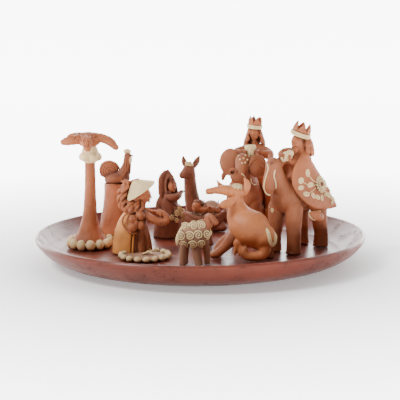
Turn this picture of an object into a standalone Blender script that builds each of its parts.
"""A clay nativity group on a round burnished plate.

Ten hand-modelled clay figures stand loose on a shallow saucer: a palm tree, a rooster on a
hollow stump, a shepherd by a ring of stones, a hooded mother, a donkey, a crib with a child, a
sheep, a cow, and two crowned riders on an elephant and on a camel.

Every figure is built in millimetres round its own foot point, with +X to the right, +Y to the
back and +Z up, and is then set on the plate. Forms are lumps (balls), rolls of clay (limbs) and
turned or cut-out sheets, joined by Boolean unions. Where two pieces meet, the second one is cut
back by the first one grown by GAP, so that the two stay separate solids.
"""
import math

import bmesh
import bpy
from mathutils import Euler, Matrix, Vector

# ---------------------------------------------------------------- driving dimensions (mm)
MM = 0.001
GAP = 0.3

PLATE_RADIUS = 152.5
PLATE_HEIGHT = 25.0
FLOOR_RADIUS = 129.5
FLOOR_HEIGHT = 8.0
BASE_RADIUS = 112.0
PLATE_STEPS = 64

# where each figure's foot point stands on the plate
PALM_AT = (-105.0, 14.0)
STUMP_AT = (-80.0, 62.0)
SHEPHERD_AT = (-64.0, -13.0)
MARY_AT = (-30.5, 66.0)
DONKEY_AT = (6.0, 99.0)
MANGER_AT = (4.0, 27.0)
SHEEP_AT = (-4.0, -70.0)
COW_AT = (44.0, -44.0)
ELEPHANT_AT = (48.0, 42.0)
CAMEL_AT = (90.0, 0.0)

# the way the two mounts face, in degrees from +X
ELEPHANT_HEADING = 252.5
CAMEL_HEADING = 231.0

BALL_SEGMENTS = 10

# sRGB clay colours
TERRACOTTA = (176, 106, 74)
DARK_CLAY = (118, 68, 48)
WARM_BROWN = (150, 92, 66)
ORANGE_CLAY = (204, 134, 90)
OCHRE_CLAY = (205, 152, 98)
CREAM_SLIP = (232, 212, 176)
FIRE_CLAY = (158, 118, 92)
BURNISHED = (150, 82, 64)

# ---------------------------------------------------------------- scene set-up
for old in list(bpy.data.objects):
    bpy.data.objects.remove(old)

PARTS = bpy.data.collections.new("clay_nativity_plate")
BENCH = bpy.data.collections.new("bench")
bpy.context.scene.collection.children.link(PARTS)
bpy.context.scene.collection.children.link(BENCH)


def linear(channel):
    """One sRGB channel, 0 to 255, as the linear value a material takes."""
    value = channel / 255
    return value / 12.92 if value <= 0.04045 else ((value + 0.055) / 1.055) ** 2.4


def clay(name, colour, roughness=0.75):
    """A fired-clay material for one piece."""
    material = bpy.data.materials.new(name)
    material.use_nodes = True
    shader = material.node_tree.nodes["Principled BSDF"]
    shader.inputs["Base Color"].default_value = (*[linear(c) for c in colour], 1.0)
    shader.inputs["Roughness"].default_value = roughness
    shader.inputs["Metallic"].default_value = 0.0
    return material


# ---------------------------------------------------------------- forms, in millimetres
def on_bench(mesh):
    """Lays a mesh on the bench as a temporary object."""
    obj = bpy.data.objects.new("form", mesh)
    BENCH.objects.link(obj)
    return obj


def baked(obj):
    """Replaces an object on the bench by the welded mesh of what it evaluates to."""
    evaluated = obj.evaluated_get(bpy.context.evaluated_depsgraph_get())
    mesh = bpy.data.meshes.new_from_object(evaluated)
    bpy.data.objects.remove(obj)
    bm = bmesh.new()
    bm.from_mesh(mesh)
    bmesh.ops.remove_doubles(bm, verts=bm.verts, dist=0.0001)
    bm.to_mesh(mesh)
    bm.free()
    return on_bench(mesh)


def ball(x, y, z, rx, ry=None, rz=None, tilt=(0, 0, 0), sides=BALL_SEGMENTS):
    """An egg-shaped lump with three half-axes, tilted by degrees about X, Y and Z."""
    radii = Vector((rx, ry or rx, rz or rx))
    turn = Euler([math.radians(angle) for angle in tilt])

    def build(grow):
        bm = bmesh.new()
        size = radii + Vector((grow, grow, grow))
        shape = Matrix.LocRotScale(Vector((x, y, z)), turn, size)
        rings = sides // 2 + 1
        bmesh.ops.create_uvsphere(bm, u_segments=sides, v_segments=rings, radius=1, matrix=shape)
        mesh = bpy.data.meshes.new("ball")
        bm.to_mesh(mesh)
        bm.free()
        return on_bench(mesh)

    return build


def block(x, y, z, width, depth, height, turn=0):
    """A plain box centred on a point, turned about Z."""

    def build(grow):
        bm = bmesh.new()
        size = Vector((width, depth, height)) + Vector((2 * grow, 2 * grow, 2 * grow))
        heading = Euler((0, 0, math.radians(turn)))
        shape = Matrix.LocRotScale(Vector((x, y, z)), heading, size)
        bmesh.ops.create_cube(bm, size=1, matrix=shape)
        mesh = bpy.data.meshes.new("block")
        bm.to_mesh(mesh)
        bm.free()
        return on_bench(mesh)

    return build


def rounded(tip, inner):
    """Two shrinking rings that round off the end of a roll, from its last ring outwards."""
    way = (tip.to_3d() - inner.to_3d()).normalized()
    radius = tip.w
    shoulder = tip.to_3d() + way * radius * 0.6
    cap = tip.to_3d() + way * radius * 0.98
    return [Vector((*shoulder, radius * 0.8)), Vector((*cap, radius * 0.22))]


def limb(*points, flat_start=False, flat_end=False, sides=6):
    """A roll of clay through points (x, y, z, radius), with round ends unless they are flat."""
    line = [Vector(point) for point in points]
    head = [] if flat_start else rounded(line[0], line[1])[::-1]
    tail = [] if flat_end else rounded(line[-1], line[-2])
    roll = [*head, *line, *tail]

    def build(grow):
        path = [point.copy() for point in roll]
        for end, inner in ((0, 1), (-1, -2)):
            way = (path[end].to_3d() - path[inner].to_3d()).normalized() * grow
            path[end] += Vector((*way, 0))
        curve = bpy.data.curves.new("roll", "CURVE")
        curve.dimensions = "3D"
        curve.bevel_depth = 1.0
        curve.bevel_resolution = sides // 2 - 2
        curve.use_fill_caps = True
        spline = curve.splines.new("POLY")
        spline.points.add(len(path) - 1)
        for target, point in zip(spline.points, path):
            target.co = (*point.to_3d(), 1.0)
            target.radius = point.w + grow
        return baked(on_bench(curve))

    return build


def turned(profile, at=(0, 0, 0), tilt=(0, 0, 0), steps=24):
    """A shape turned about an axis; the profile (radius, height) runs down the outer side."""

    def build(grow):
        mesh = bpy.data.meshes.new("profile")
        middle = (max(height for _, height in profile) + min(height for _, height in profile)) / 2
        corners = [
            (radius + grow if radius else 0, 0, height + math.copysign(grow, height - middle))
            for radius, height in profile
        ]
        edges = [(index, index + 1) for index in range(len(corners) - 1)]
        mesh.from_pydata(corners, edges, [])
        obj = on_bench(mesh)
        screw = obj.modifiers.new("turn", "SCREW")
        screw.steps = steps
        screw.render_steps = steps
        screw.use_merge_vertices = True
        screw.merge_threshold = 0.0001
        done = baked(obj)
        turn = Euler([math.radians(angle) for angle in tilt])
        done.data.transform(Matrix.LocRotScale(Vector(at), turn, None))
        return done

    return build


def sheet(outline, thickness, at, lean, heading):
    """A flat sheet cut to a smooth outline, stood up, leant back and turned about Z."""

    def build(grow):
        curve = bpy.data.curves.new("outline", "CURVE")
        curve.dimensions = "2D"
        curve.fill_mode = "BOTH"
        curve.extrude = thickness / 2 + grow
        curve.resolution_u = 4
        spline = curve.splines.new("BEZIER")
        spline.use_cyclic_u = True
        spline.bezier_points.add(len(outline) - 1)
        for target, (across, up) in zip(spline.bezier_points, outline):
            target.co = (across, up, 0)
            target.handle_left_type = "AUTO"
            target.handle_right_type = "AUTO"
        done = baked(on_bench(curve))
        stand = Euler((math.radians(90 - lean), 0, 0)).to_matrix().to_4x4()
        turn = Euler((0, 0, math.radians(heading))).to_matrix().to_4x4()
        done.data.transform(Matrix.Translation(Vector(at)) @ turn @ stand)
        return done

    return build


def combine(target, tool, operation):
    """Joins one form on the bench to another, or cuts it by another."""
    boolean = target.modifiers.new(operation, "BOOLEAN")
    boolean.operation = operation
    boolean.solver = "EXACT"
    boolean.object = tool
    done = baked(target)
    bpy.data.objects.remove(tool)
    return done


def piece(name, colour, where, forms, cut_by=(), carve=(), stands=False):
    """One clay piece: forms joined, then cut by its neighbours' forms and carved as modelled.

    where is the figure's foot point on the plate. cut_by lists the neighbours' forms, which are
    grown by GAP before they cut; carve lists hollows, cut at their own size. A piece that stands
    on the plate is trimmed flat underneath.
    """
    if stands:
        carve = [*carve, UNDERFOOT]
    shape = forms[0](0)
    for form in forms[1:]:
        shape = combine(shape, form(0), "UNION")
    for form in cut_by:
        shape = combine(shape, form(GAP), "DIFFERENCE")
    for form in carve:
        shape = combine(shape, form(0), "DIFFERENCE")
    foot = Vector((*where, FLOOR_HEIGHT + GAP))
    shape.data.transform(Matrix.Diagonal((MM, MM, MM, 1)) @ Matrix.Translation(foot))
    shape.name = name
    shape.data.name = name
    shape.data.materials.clear()
    shape.data.materials.append(clay(name, colour))
    shape.data.shade_smooth()
    shape.data.set_sharp_from_angle(angle=math.radians(50))
    BENCH.objects.unlink(shape)
    PARTS.objects.link(shape)
    return shape


UNDERFOOT = block(0, 0, -10, 200, 200, 20)


def around(count, radius, centre=(0, 0), start=0):
    """Points evenly spaced on a circle, in the plane of the floor."""
    for index in range(count):
        angle = start + 2 * math.pi * index / count
        x = centre[0] + radius * math.cos(angle)
        y = centre[1] + radius * math.sin(angle)
        yield x, y, math.degrees(angle)


def stone_ring(count, radius, half_width, height, centre=(0, 0), sides=6):
    """Round stones pressed together in a ring: a closed roll that narrows between stones."""

    def build(grow):
        curve = bpy.data.curves.new("stones", "CURVE")
        curve.dimensions = "3D"
        curve.bevel_depth = 1.0
        curve.bevel_resolution = sides // 2 - 2
        spline = curve.splines.new("POLY")
        spline.use_cyclic_u = True
        spline.points.add(2 * count - 1)
        spots = around(2 * count, radius, centre)
        for index, (target, (x, y, _)) in enumerate(zip(spline.points, spots)):
            target.co = (x, y, height, 1.0)
            target.radius = half_width * (0.62 if index % 2 else 1.0) + grow
        return baked(on_bench(curve))

    return build


def facing(heading):
    """A function that gives a mount's points by distance forward, to its left and up."""
    angle = math.radians(heading)
    forward = Vector((math.cos(angle), math.sin(angle)))
    left = Vector((-forward.y, forward.x))

    def at(ahead, aside, up, radius):
        spot = forward * ahead + left * aside
        return (spot.x, spot.y, up, radius)

    return at


# ---------------------------------------------------------------- plate
def make_plate():
    """The saucer-shaped plate: flat base, curved wall, thin lip and a shallow flat floor."""
    outside = [
        (PLATE_RADIUS - 1.6, PLATE_HEIGHT),
        (PLATE_RADIUS - 0.3, PLATE_HEIGHT - 0.8),
        (PLATE_RADIUS, PLATE_HEIGHT - 2.2),
        (PLATE_RADIUS - 2.5, 18.0),
        (PLATE_RADIUS - 11.0, 9.5),
        (PLATE_RADIUS - 24.0, 3.2),
        (BASE_RADIUS, 0.0),
    ]
    inside = [
        (FLOOR_RADIUS, FLOOR_HEIGHT),
        (FLOOR_RADIUS + 6.0, FLOOR_HEIGHT + 2.0),
        (FLOOR_RADIUS + 14.0, FLOOR_HEIGHT + 9.0),
        (PLATE_RADIUS - 3.0, PLATE_HEIGHT - 0.5),
    ]
    profile = [(0, FLOOR_HEIGHT), *inside, *outside, (0, 0)]
    plate = turned(profile, steps=PLATE_STEPS)(0)
    plate.data.transform(Matrix.Diagonal((MM, MM, MM, 1)))
    plate.name = "plate"
    plate.data.name = "plate"
    plate.data.materials.append(clay("plate", BURNISHED, 0.3))
    plate.data.shade_smooth()
    plate.data.set_sharp_from_angle(angle=math.radians(50))
    BENCH.objects.unlink(plate)
    PARTS.objects.link(plate)


# ---------------------------------------------------------------- palm tree
def make_palm():
    """A flared trunk in a ring of stones, with a lobed collar and drooping fronds."""
    trunk = limb(
        (0, 0, 0, 18.6), (0, 0, 7, 18.2), (0.2, 0, 15, 14.6), (0.5, 0, 25, 10.2),
        (0.8, 0, 36, 7.9), (1.2, 0, 49, 6.6), (1.6, 0, 64, 5.7), (2, 0, 88, 5.2),
        flat_start=True, flat_end=True, sides=14,
    )
    lobes = [
        ball(x, y, 88.5, 5.4, 5.2, 5.6, tilt=(0, 0, angle), sides=8)
        for x, y, angle in around(5, 6.0, (2, 0), start=-math.pi / 2 + 0.35)
    ]
    collar = [ball(2, 0, 91.5, 9.2, 9.2, 6.0), *lobes]
    fronds = [
        ball(1, 0, 103.5, 12.5, 12, 5.8),
        limb((-6, -2, 103.5, 4.6), (-15, -4, 104, 4.4), (-21.5, -4.5, 101.5, 2.6)),
        limb((-6, 4, 105, 4.6), (-14, 9, 105.5, 4.4), (-20, 12, 103.5, 2.6)),
        limb((8, -1, 104.5, 5), (17.5, -2, 103.5, 4.6), (24, -2.5, 99.5, 3.9),
             (27.6, -2.5, 95.8, 2.5)),
        limb((7, 6, 105, 4.6), (14, 12, 104, 4.2), (19, 16, 100.5, 2.6)),
        limb((-1, -6, 103.5, 5), (-1, -15, 102.5, 4.8), (-1.5, -20, 99, 3.0)),
        limb((0, 8, 105, 5), (-2, 16, 103, 4.4), (-3, 21, 99.5, 2.6)),
    ]
    stones = [stone_ring(13, 19.4, 4.3, 4.0)]
    piece("palm_trunk", TERRACOTTA, PALM_AT, [trunk], stands=True)
    piece("palm_collar", CREAM_SLIP, PALM_AT, collar, cut_by=[trunk])
    piece("palm_fronds", TERRACOTTA, PALM_AT, fronds, cut_by=collar)
    piece("palm_stones", CREAM_SLIP, PALM_AT, stones, cut_by=[trunk], stands=True)


# ---------------------------------------------------------------- stump and rooster
def make_stump():
    """A hollow stump in a ring of stones, with a rooster sitting in its open top."""
    wall = turned([
        (0, 34), (8.5, 34), (10.6, 44), (10.8, 54.6), (13.2, 54.6), (13.4, 44), (14.6, 31),
        (17.4, 18), (19.4, 10), (19.2, 0), (0, 0),
    ], steps=20)
    body = [
        ball(-0.5, 0, 58.6, 13, 9.8, 6.4),
        limb((5, 0, 60.5, 6.4), (8, 0, 67.5, 5.4), (9.6, 0, 75, 4), (10, 0, 81.5, 3.5)),
        limb((12, 0, 82, 1.7), (14.8, 0, 81.4, 0.7)),
    ]
    tail = ball(-8.6, 1.5, 67.8, 9.4, 2.3, 9.4)
    comb = [
        ball(8.6, 0, 85.4, 2.4, 1.7, 2.1, sides=8),
        ball(11, 0, 85.2, 2.2, 1.7, 2.1, sides=8),
    ]
    stones = [stone_ring(17, 20.3, 3.4, 3.1)]
    piece("stump", TERRACOTTA, STUMP_AT, [wall], stands=True)
    piece("stump_stones", CREAM_SLIP, STUMP_AT, stones, cut_by=[wall], stands=True)
    piece("rooster_body", TERRACOTTA, STUMP_AT, body, cut_by=[wall])
    piece("rooster_tail", TERRACOTTA, STUMP_AT, [tail], cut_by=body)
    piece("rooster_comb", CREAM_SLIP, STUMP_AT, comb, cut_by=body)


# ---------------------------------------------------------------- shepherd and campfire
def make_shepherd():
    """A caped shepherd in a wide hat, with a sheaf, a bag of fruit and a stone fire place."""
    robe = [
        limb((4, 0, 0, 14.2), (4, 0, 14, 13.2), (4.6, 0, 27, 10.8), (6.4, 0, 38, 7.8),
             (9, 0, 45, 5.2), flat_start=True, sides=12),
        limb((9.5, -12.4, 0, 3.4), (9.5, -11.6, 12, 3), (9, -10, 22, 2.4), flat_start=True,
             sides=6),
    ]
    bell = limb((0, 0, 0, 17), (0, 0, 14, 15.6), (1.2, 0, 27, 12.8), (3, 0, 36, 9.4),
                (4.6, 0, 41, 6.4), flat_start=True, sides=14)
    opening = block(22.6, -15.4, 20, 34, 34, 80, turn=-8)
    head = [
        ball(13.6, -1, 54.4, 6, 5.8, 7.8),
        limb((9.5, 0, 46, 4.4), (12.5, -0.5, 50, 4), sides=8),
    ]
    hat = turned([
        (0, 11.4), (3.2, 10.6), (8.6, 5.8), (15.2, 0), (14.2, -1), (8.2, 3.6), (3, 7.2), (0, 8),
    ], at=(9.6, 0, 58.6), tilt=(0, -34, 0), steps=20)
    sheaf = [
        limb((-1, 2, 40, 4.6), (-6.5, 2.5, 44, 5.6), (-7.6, 3, 52, 5.8), (-5.4, 3.5, 60, 5.2),
             (-2.5, 3.5, 65, 3)),
        limb((-9, -1, 44, 3.6), (-4, -7, 41.5, 3.6), (2.5, -9.5, 41.5, 3.2)),
        limb((-5.5, 3, 66.4, 1.5), (3, 3, 67.4, 1.6), (7.5, 3, 67.8, 1.2)),
    ]
    fruit = [
        ball(x, y, z, 4.1, sides=8)
        for x, y, z in [(2.4, -14, 35.4), (9.2, -12.6, 37.2), (2.8, -14.6, 28.6),
                        (9.6, -13.4, 30.2), (5.8, -15.4, 32.6)]
    ]
    arms = [
        limb((12, -5, 37, 4.3), (20, -7.5, 33, 4.1), (29, -8, 30.4, 4.1), (33.4, -8, 31.4, 3.8),
             (32, -8, 36, 3.3), (27.6, -8, 38.6, 3.1)),
        limb((11, 6, 37, 4.2), (20, 5, 36, 3.8), (27, 0, 37, 3.3), (27.6, -5, 38.6, 2.8)),
    ]
    hearth_at = (14, -25.4)
    hearth = turned([(0, 3.0), (18.4, 3.0), (19.0, 2.4), (19.0, 0), (0, 0)],
                    at=(*hearth_at, 0), steps=28)
    stones = [stone_ring(17, 21.6, 2.9, 2.5, hearth_at)]
    logs = [
        limb((11, -30, 4.7, 1.3), (22, -21.5, 4.9, 1.2)),
        limb((14, -20.5, 5.0, 1.2), (19.5, -31, 5.2, 1.1)),
    ]
    piece("shepherd_robe", TERRACOTTA, SHEPHERD_AT, robe, stands=True)
    piece("shepherd_cape", OCHRE_CLAY, SHEPHERD_AT, [bell], cut_by=robe, carve=[opening],
          stands=True)
    piece("shepherd_head", TERRACOTTA, SHEPHERD_AT, head, cut_by=[*robe, hat])
    piece("shepherd_hat", CREAM_SLIP, SHEPHERD_AT, [hat])
    piece("shepherd_sheaf", TERRACOTTA, SHEPHERD_AT, sheaf, cut_by=[bell, *robe, *head, hat])
    piece("shepherd_fruit", TERRACOTTA, SHEPHERD_AT, fruit, cut_by=[bell, *robe, *sheaf])
    piece("shepherd_arms", TERRACOTTA, SHEPHERD_AT, arms, cut_by=[bell, *robe, *fruit])
    piece("fire_hearth", FIRE_CLAY, SHEPHERD_AT, [hearth], cut_by=[bell, *robe], stands=True)
    piece("fire_stones", CREAM_SLIP, SHEPHERD_AT, stones, cut_by=[hearth, bell, *robe], stands=True)
    piece("fire_logs", CREAM_SLIP, SHEPHERD_AT, logs)


# ---------------------------------------------------------------- mother
def make_mary():
    """A hooded woman with a rolled scarf, a folded sleeve and a spray of flowers."""
    robe = limb((0, 0, 0, 15.8), (0, 0, 8, 15.4), (0, 0, 20, 13.8), (0, 0, 31, 11.4),
                (0.8, 0, 38, 9.4), (1.4, 0, 42, 6), flat_start=True, sides=14)
    head = ball(4.2, -2.4, 50.6, 4.9, 4.9, 6)
    hood = [
        limb((1.6, 1.5, 42.4, 8.2), (1.4, 1, 52, 7.6), (0.8, 0.5, 59.6, 5.2), (0.4, 0, 64.6, 2),
             sides=10),
        limb((-4.6, -2, 41, 3.2), (-4.8, -2.4, 50, 3.0), (-2.4, -2.4, 58.5, 2.7)),
    ]
    face_opening = ball(7.4, -8.4, 51, 7.2, 7.6, 8.8, tilt=(0, -14, 0))
    scarf = limb((0.5, -9.5, 41.5, 2.6), (6, -11, 41.6, 3.5), (11.4, -7.4, 42.2, 3.3),
                 (13.6, -2, 43.6, 2.2), (16, 1.5, 44.6, 1.1))
    sleeve = limb((-7.6, -1, 36, 4), (-11.2, -4, 32.4, 4), (-11.4, -7.4, 28, 3.2))
    flowers = [
        ball(x, y, z, r, sides=8)
        for x, y, z, r in [(6, -12.6, 22, 2.6), (9, -11.8, 25.5, 2.7), (11.6, -9.6, 28.6, 2.6),
                           (12.6, -9.4, 24.2, 2.7), (14, -7.6, 20.8, 2.4)]
    ]
    piece("mary_robe", DARK_CLAY, MARY_AT, [robe], stands=True)
    piece("mary_head", TERRACOTTA, MARY_AT, [head], cut_by=[robe])
    piece("mary_hood", DARK_CLAY, MARY_AT, hood, cut_by=[robe, head], carve=[face_opening])
    piece("mary_scarf", DARK_CLAY, MARY_AT, [scarf], cut_by=[robe, head, *hood])
    piece("mary_sleeve", DARK_CLAY, MARY_AT, [sleeve], cut_by=[robe, *hood])
    piece("mary_flowers", CREAM_SLIP, MARY_AT, flowers, cut_by=[robe])


# ---------------------------------------------------------------- donkey
def make_donkey():
    """A donkey lying down with its long neck and ears up, a blanket and a flower."""
    trunk = ball(4, 0, 14.6, 23, 11.4, 14.4)
    body = [
        trunk,
        limb((-11, -1, 14, 9.5), (-14, -3, 32, 8), (-15.6, -5, 47, 6.2), (-16.2, -6, 58, 5.6)),
        limb((-16.6, -6.4, 62.4, 5.8), (-20, -10, 60.6, 4.4), (-23.6, -12.6, 58.6, 3.2)),
        limb((-18, -4.6, 64.6, 2.4), (-21.6, -3.6, 70.6, 2.8), (-23.2, -3.4, 75, 1.2)),
        limb((-13, -4.6, 64, 2.6), (-8.8, -3.4, 70.6, 3.1), (-5.6, -2.8, 74.6, 1.3)),
        limb((-14, -7, 5, 4.4), (-4, -11, 3.8, 3.5), (6, -11, 3.6, 3.1)),
        limb((14, -6, 7, 6), (20, -9, 4, 3.8), (12, -12, 3.6, 3.1)),
        limb((-14, 7, 5, 4.4), (-4, 10.5, 3.8, 3.3), (4, 10.5, 3.6, 3.1)),
    ]
    blanket = ball(7, 0, 15.6, 12.5, 12.8, 15.4)
    under = block(7, 0, 2, 60, 60, 18)
    forelock = [
        ball(-17.4, -9.6, 67.4, 2.7, 2.3, 2.1, sides=8),
        ball(-14.4, -8.6, 68, 2.5, 2.3, 2.1, sides=8),
    ]
    piece("donkey_body", DARK_CLAY, DONKEY_AT, body, stands=True)
    piece("donkey_blanket", FIRE_CLAY, DONKEY_AT, [blanket], cut_by=body, carve=[under])
    piece("donkey_forelock", CREAM_SLIP, DONKEY_AT, forelock, cut_by=body)


# ---------------------------------------------------------------- crib
def make_manger():
    """A boat-shaped crib on a foot, filled with straw, with the child lying in it."""
    hull = [
        limb((-18.4, 0, 29.4, 1.8), (-12, 0, 24.6, 6.6), (0, 0, 20.6, 9.8), (12, 0, 24.6, 6.6),
             (18.6, 0, 29.4, 1.8), sides=10),
        limb((0, 0, 0, 9.4), (0, 0, 5, 7.2), (0, 0, 14, 7.6), flat_start=True, sides=10),
    ]
    saddle = ball(0, 0, 51.4, 27, 18, 26)
    trough = ball(0, 0, 28, 14.6, 6.8, 8.6)
    straw = ball(0, 0, 26.4, 13.4, 6, 5)
    child = [
        limb((-6, -0.6, 33, 3.6), (1, 0, 33.4, 4.4), (8, 0.4, 32.6, 3.6), (13, 0.4, 32, 2.4)),
        ball(-7.4, -1.4, 35.6, 5, 4.6, 4.8),
    ]
    hair = [
        ball(-4.4, 1.2, 38.4, 5, 4.2, 4.2, sides=8),
        ball(-7.6, 2.2, 38.8, 3.4, 3, 3.2, sides=8),
    ]
    piece("manger", DARK_CLAY, MANGER_AT, hull, cut_by=child, carve=[saddle, trough], stands=True)
    piece("manger_straw", FIRE_CLAY, MANGER_AT, [straw], cut_by=child)
    piece("child", TERRACOTTA, MANGER_AT, child)
    piece("child_hair", DARK_CLAY, MANGER_AT, hair, cut_by=child)


# ---------------------------------------------------------------- sheep
def make_sheep():
    """A sheep with a thick curly fleece over a plain clay body."""
    body = [
        limb((-9, 0, 28, 5.6), (6, 0, 30, 6.4)),
        limb((-12.6, -4.6, 0, 2.9), (-12, -4.4, 12, 3.1), (-10.6, -3.4, 24, 3.8), flat_start=True),
        limb((1.4, -5.4, 0, 3.6), (0.2, -5.2, 10, 3.7), (-1, -3.8, 24, 4.3), flat_start=True),
        limb((-10.4, 5, 0, 2.9), (-9.6, 5, 12, 3.1), (-8.6, 3.6, 24, 3.8), flat_start=True),
        limb((8.6, 4.4, 0, 3), (8.6, 4.4, 12, 3.2), (7, 3.4, 25, 4.2), flat_start=True),
        limb((6, 0, 30, 6.2), (10, 0.4, 35.6, 5.2), (12.4, 0.6, 41.2, 4.6)),
        limb((12.6, 1, 42.4, 4.3), (15.8, 3.6, 40.2, 3.2), (18, 5.4, 38.2, 2.3)),
        limb((12.6, -3, 44, 1.9), (15.8, -3.8, 43, 2.4), (17, -4, 39.2, 1.6)),
    ]
    fleece = [
        ball(-3, 0, 29, 14.4, 9.8, 10.4, tilt=(0, -10, 0)),
        ball(3.4, 0, 31.4, 8.6, 8.8, 9.4),
        limb((-14.6, -2.6, 28, 2.6), (-16, -3.4, 23.4, 1.8), (-16.2, -3.6, 20, 1.1)),
    ]
    piece("sheep_body", WARM_BROWN, SHEEP_AT, body, stands=True)
    piece("sheep_fleece", CREAM_SLIP, SHEEP_AT, fleece, cut_by=body)


# ---------------------------------------------------------------- cow
def make_cow():
    """A big-bellied cow with crescent horns, seen turning its head to the left."""
    body = [
        limb((-8.4, 4.6, 34, 10.6), (-5, 3.6, 33.2, 15), (2, 0, 31, 15.6), (8.6, -3.6, 28.6, 13.6),
             (12, -5, 26.6, 9), sides=12),
        limb((-8, 4, 42, 9.6), (-11.4, 3, 52, 7.2), (-11, 0.6, 60, 6), sides=10),
        limb((-8.6, 0, 62.4, 5.2), (-16, -1, 64, 5.4), (-26, -2, 65, 4.1), (-34, -3, 64.6, 2.8),
             (-36.8, -3, 64.3, 2.4)),
        limb((-12.6, -4.6, 58.4, 2.4), (-19, -7, 53.4, 3.7), (-24.6, -8, 52.2, 2.6)),
        limb((-22.6, 1.6, 66, 2.8), (-26.6, 2.8, 68.6, 2.1), (-28.6, 3, 70.4, 0.9)),
        limb((-8, 0.4, 60, 3), (-3, 0.2, 62.6, 3), (-0.9, 0, 67, 2.7), (-2, 0, 70.6, 2),
             (-3.4, 0, 72.6, 0.9)),
        limb((12.6, -7, 21, 8), (14, -9, 11, 6), (11.6, -10.4, 5.6, 4.8), (5, -11, 4.4, 4.2),
             (-1, -11, 4.6, 3.9), (-4, -10.8, 8, 3.4), (-3.4, -10.6, 11, 2.4)),
        limb((14, 1, 18, 6.2), (17.4, 1.6, 8, 4.6), (17.6, 1.6, 0, 4.4), flat_end=True),
        limb((-12, -1, 20, 5.6), (-22, -1.4, 11, 4.6), (-29, -2, 5.2, 4.1), (-32, -2.4, 4, 3.5)),
        limb((-12, 9, 20, 5.6), (-22, 10.6, 14.5, 4.5), (-27.4, 11.2, 8, 4), (-28, 11.2, 0, 4),
             flat_end=True),
        ball(-9, -7, 15.6, 5.4, 4.4, 5.4),
        limb((-11.6, -8.6, 12, 2.1), (-14.6, -9.4, 7.4, 1.5)),
        limb((-7.6, -9.6, 12, 2.1), (-9.4, -10.8, 7, 1.5)),
    ]
    topknot = [
        ball(-13.2, -1.4, 68.2, 4.2, 3.8, 2.9, sides=8),
        ball(-8.8, -1.2, 67.6, 3.8, 3.6, 2.9, sides=8),
    ]
    tail = limb((16.4, -12, 29.6, 1.7), (19, -14.6, 26, 1.8), (20.4, -14.8, 19.6, 1.7),
                (21.6, -13.4, 16.2, 1.6), (23, -11, 18.4, 1.5), (22.8, -9.4, 23.6, 1.4))
    piece("cow_body", ORANGE_CLAY, COW_AT, body, stands=True)
    piece("cow_topknot", CREAM_SLIP, COW_AT, topknot, cut_by=body)
    piece("cow_tail", CREAM_SLIP, COW_AT, [tail], cut_by=body)


# ---------------------------------------------------------------- crowns
def crown(at, tilt, radius, height):
    """A ring with four points round its rim, open at the top."""
    turn = Euler([math.radians(angle) for angle in tilt])
    ring = turned([
        (0, 3.4), (radius - 1.7, 3.4), (radius - 1.3, height * 0.6), (radius + 0.3, height * 0.6),
        (radius, 0), (0, 0),
    ], at=at, tilt=tilt, steps=12)
    points = []
    for x, y, _ in around(4, radius - 1.2, start=0.35):
        low = turn.to_matrix() @ Vector((x, y, height * 0.5)) + Vector(at)
        top = turn.to_matrix() @ Vector((x * 1.16, y * 1.16, height - 0.9)) + Vector(at)
        points.append(limb((*low, radius * 0.34), (*top, 0.9)))
    return [ring, *points]


def crown_space(at, tilt, radius, height):
    """The plain space that a crown and its band fill, for cutting the hair under them."""
    wide = radius * 1.06 + 2.4
    return turned([(0, height), (wide, height), (wide, -0.2), (0, -0.2)], at=at, tilt=tilt,
                  steps=12)


def band(at, tilt, radius, height):
    """The cord round a crown's foot, clear of the crown inside it."""
    inner = radius * 1.03 + 0.5
    outer = inner + 1.2
    return turned([
        (inner, height), (outer, height - 0.4), (outer, 0.4), (inner, 0), (inner, height),
    ], at=at, tilt=tilt, steps=14)


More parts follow.
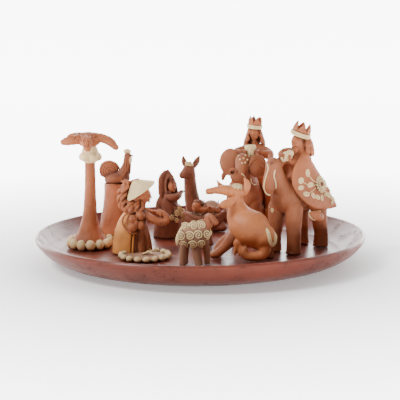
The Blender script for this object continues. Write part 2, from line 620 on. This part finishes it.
# ---------------------------------------------------------------- elephant and first king
def make_elephant():
    """An elephant with a curled trunk, carrying a long-haired king with a round box."""
    at = facing(ELEPHANT_HEADING)
    body = [
        limb(at(-16, 0, 42, 15.5), at(-2, 0, 44, 17), at(12, 0, 45, 15), sides=12),
        limb(at(10, 0, 50, 13), at(22, 0, 66, 9.6), at(30, 1, 76, 8.4), sides=10),
        limb(at(33, 1, 80, 8.6), at(39.5, 1.4, 75, 6.4), at(44, 2, 69.6, 5), at(47.5, -0.4, 68, 4.7),
             at(47.6, -4, 69.6, 4.3), at(46.4, -4.6, 72.6, 3.8), sides=10),
    ]
    for ahead, aside in [(17, 9), (17, -9), (-19, 9), (-19, -9)]:
        body.append(limb(at(ahead, aside, 0, 7.4), at(ahead, aside, 16, 6.6),
                         at(ahead - 1, aside * 0.8, 36, 8), flat_start=True, sides=10))
    body.append(limb(at(-30, 0, 48, 2.2), at(-34, 0, 38, 1.8), at(-35, 1, 26, 1.4)))
    ear_right = [
        ball(*at(29, -13, 80.4, 0)[:3], 8.8, 2.2, 11.2, tilt=(0, 6, -12)),
        limb(at(29, -17, 74, 2.4), at(29.4, -19.6, 68, 2.2), at(30, -18, 63.6, 1.5)),
    ]
    ear_left = [ball(*at(31, 15.4, 77.6, 0)[:3], 8.6, 3.2, 9.6, tilt=(0, 14, 10))]
    robe = [
        limb((4, -2, 56, 10.5), (4, -3, 70, 10), (3.8, -5, 82, 8.8), (3.4, -6, 91, 6.4),
             (3, -6.4, 97.4, 3.6), sides=10),
        limb((-1, -7.5, 90.6, 4.2), (-10, -13, 89, 4), (-15.4, -18.4, 88.2, 3.7),
             (-12.4, -22, 88.8, 3), (-7, -22.4, 88.6, 2.7)),
        limb((8, -7.5, 90.6, 4.8), (14.6, -12, 87.4, 5), (17.4, -16.8, 85, 4.8),
             (12, -21.4, 87, 3.4), (4, -22.4, 88.6, 2.7)),
        limb(at(2, -9, 62, 6.5), at(5, -18.4, 50, 5), at(7, -19.6, 34, 4.4), at(11, -19.6, 31, 3.6)),
        limb(at(2, 9, 62, 6.5), at(5, 18.4, 50, 5), at(7, 19.6, 34, 4.4), at(11, 19.6, 31, 3.6)),
    ]
    head = [ball(3, -7.6, 105.4, 5.2, 5, 6.4)]
    crown_at, crown_tilt = (3.2, -7, 110.2), (4, 6, 0)
    top = crown(crown_at, crown_tilt, 5.6, 10.8)
    cord = band(crown_at, crown_tilt, 5.6, 3)
    hair = [
        ball(3.2, -2.6, 103.6, 7, 4.6, 7.6),
        limb((-2, -5, 107, 2.8), (-4.4, -5.4, 101, 3), (-5.6, -6, 96, 2.4)),
        limb((8.4, -4.4, 107, 2.8), (11, -4.4, 100.5, 3.2), (13, -4.6, 95.6, 2.4)),
    ]
    gift = turned([(0, 10.4), (5, 10.4), (5.5, 9.4), (5.5, 0.8), (5, 0), (0, 0)],
                  at=(-1.6, -24.6, 85.4), tilt=(0, 0, 0), steps=14)
    piece("elephant_body", WARM_BROWN, ELEPHANT_AT, body, stands=True)
    piece("elephant_ear_right", WARM_BROWN, ELEPHANT_AT, ear_right, cut_by=body)
    piece("elephant_ear_left", WARM_BROWN, ELEPHANT_AT, ear_left, cut_by=body)
    piece("king_one_robe", TERRACOTTA, ELEPHANT_AT, robe,
          cut_by=[*body, *ear_right, *ear_left, gift])
    piece("king_one_head", TERRACOTTA, ELEPHANT_AT, head, cut_by=robe)
    piece("king_one_crown", TERRACOTTA, ELEPHANT_AT, top, cut_by=head)
    piece("king_one_crown_band", CREAM_SLIP, ELEPHANT_AT, [cord])
    piece("king_one_hair", DARK_CLAY, ELEPHANT_AT, hair,
          cut_by=[*head, *robe, crown_space(crown_at, crown_tilt, 5.6, 10.8)])
    piece("king_one_gift", CREAM_SLIP, ELEPHANT_AT, [gift], cut_by=body)


# ---------------------------------------------------------------- camel and second king
def make_camel():
    """A camel with a long hanging head, carrying a king under a big leaf-shaped cape."""
    at = facing(CAMEL_HEADING)
    body = [
        limb(at(-22, 0, 49, 14), at(-4, 0, 52, 16.5), at(16, 0, 51, 15), sides=12),
        limb(at(16, 0, 54, 12), at(27, -2, 66, 8.4), at(31, -3.6, 77, 7), at(33, -4, 82, 6.6),
             sides=10),
        limb(at(34, -4, 82.6, 6.4), at(36.4, -4.8, 76, 5.4), at(37.6, -5.2, 67, 5.9),
             at(37.8, -5.2, 61.6, 5.6), sides=10),
        limb((-21, -20, 82, 2.9), (-16, -17.6, 85.6, 3.2), (-12.4, -16, 88.4, 1.5)),
        limb((-26.6, -21, 86, 2.2), (-26, -20, 90.6, 0.9)),
        limb(at(-33, 0, 52, 2.2), at(-38, 0, 42, 1.8), at(-39, 1, 30, 1.4)),
    ]
    for x, y in [(-5, -24), (23, 11), (-22, -10), (6, 25)]:
        body.append(limb((x, y, 0, 7.2), (x, y, 15, 6.6), (x * 0.86, y * 0.8, 40, 8.2),
                         flat_start=True, sides=10))
    robe = [
        limb((3, 0, 64, 11), (3.4, -1, 76, 10), (4, -3, 86, 8.6), (3, -4.6, 92.6, 6),
             (1.6, -5.6, 96.6, 4.2), sides=10),
        limb((-2, -1, 90.4, 4.4), (-11, -5, 91.6, 4), (-15.6, -10, 90, 3.5),
             (-14.6, -13.6, 88, 2.8)),
        limb((6, -9, 88, 4.4), (2, -14, 82.4, 4), (-4, -16.4, 83.6, 3.4), (-7.6, -16.4, 85.6, 2.8)),
        limb(at(4, -10, 66, 6.5), at(7, -18, 54, 5.2), at(9, -19.4, 40, 4.4),
             at(13, -19.4, 36, 3.6)),
        limb(at(2, 9, 66, 6), at(2, 14.6, 56, 5), at(0, 17.4, 42, 4.2)),
    ]
    lap = ball(-8.4, -9, 74.6, 6.5, 6.5, 8)
    head = [ball(-0.6, -8, 101.4, 6.2, 6, 8)]
    crown_at, crown_tilt = (1.6, -7, 107), (6, 18, 0)
    top = crown(crown_at, crown_tilt, 7.6, 12.4)
    cord = band(crown_at, crown_tilt, 7.6, 3.4)
    hair = [
        ball(5.6, -3.4, 100, 7.4, 6, 8.6),
        limb((7.6, -8, 104, 3), (9.6, -8.8, 97, 3.2), (12, -9, 91, 2.5)),
        limb((9.6, -3, 103, 3.2), (12.6, -3, 96, 3.4), (14.4, -3, 90, 2.4)),
    ]
    gift = ball(-11, -17.4, 89.8, 5.8, 5.2, 5.4, tilt=(0, 24, 12), sides=8)
    outline = [(-1, 47.4), (6, 47), (14, 38), (27, 17), (37.4, -1.4), (34, -4.4), (20, -4),
               (4, 0), (-10, 11), (-16.4, 24), (-12, 38)]
    cape = sheet(outline, 3, at=(8.4, -21.8, 42.6), lean=10, heading=43)
    foot = limb(at(-4, 22.6, 33, 3.6), at(0, 25, 31.4, 4), at(5, 25.4, 31, 3.4))
    flower = ball(19.6, -17.4, 65, 4.4, sides=8)
    piece("camel_body", WARM_BROWN, CAMEL_AT, body, stands=True)
    piece("king_two_robe", TERRACOTTA, CAMEL_AT, robe, cut_by=[*body, gift], carve=[lap])
    piece("king_two_head", TERRACOTTA, CAMEL_AT, head, cut_by=robe)
    piece("king_two_crown", TERRACOTTA, CAMEL_AT, top, cut_by=head)
    piece("king_two_crown_band", CREAM_SLIP, CAMEL_AT, [cord])
    piece("king_two_hair", DARK_CLAY, CAMEL_AT, hair,
          cut_by=[*head, *robe, crown_space(crown_at, crown_tilt, 7.6, 12.4)])
    piece("king_two_gift", CREAM_SLIP, CAMEL_AT, [gift], cut_by=body)
    piece("king_two_cape", TERRACOTTA, CAMEL_AT, [cape], cut_by=[*body, *robe, *hair])
    piece("king_two_foot", TERRACOTTA, CAMEL_AT, [foot], cut_by=[*body, *robe, cape])
    piece("cape_flower", CREAM_SLIP, CAMEL_AT, [flower], cut_by=[cape])


make_plate()
make_palm()
make_stump()
make_shepherd()
make_mary()
make_donkey()
make_manger()
make_sheep()
make_cow()
make_elephant()
make_camel()
bpy.data.collections.remove(BENCH)
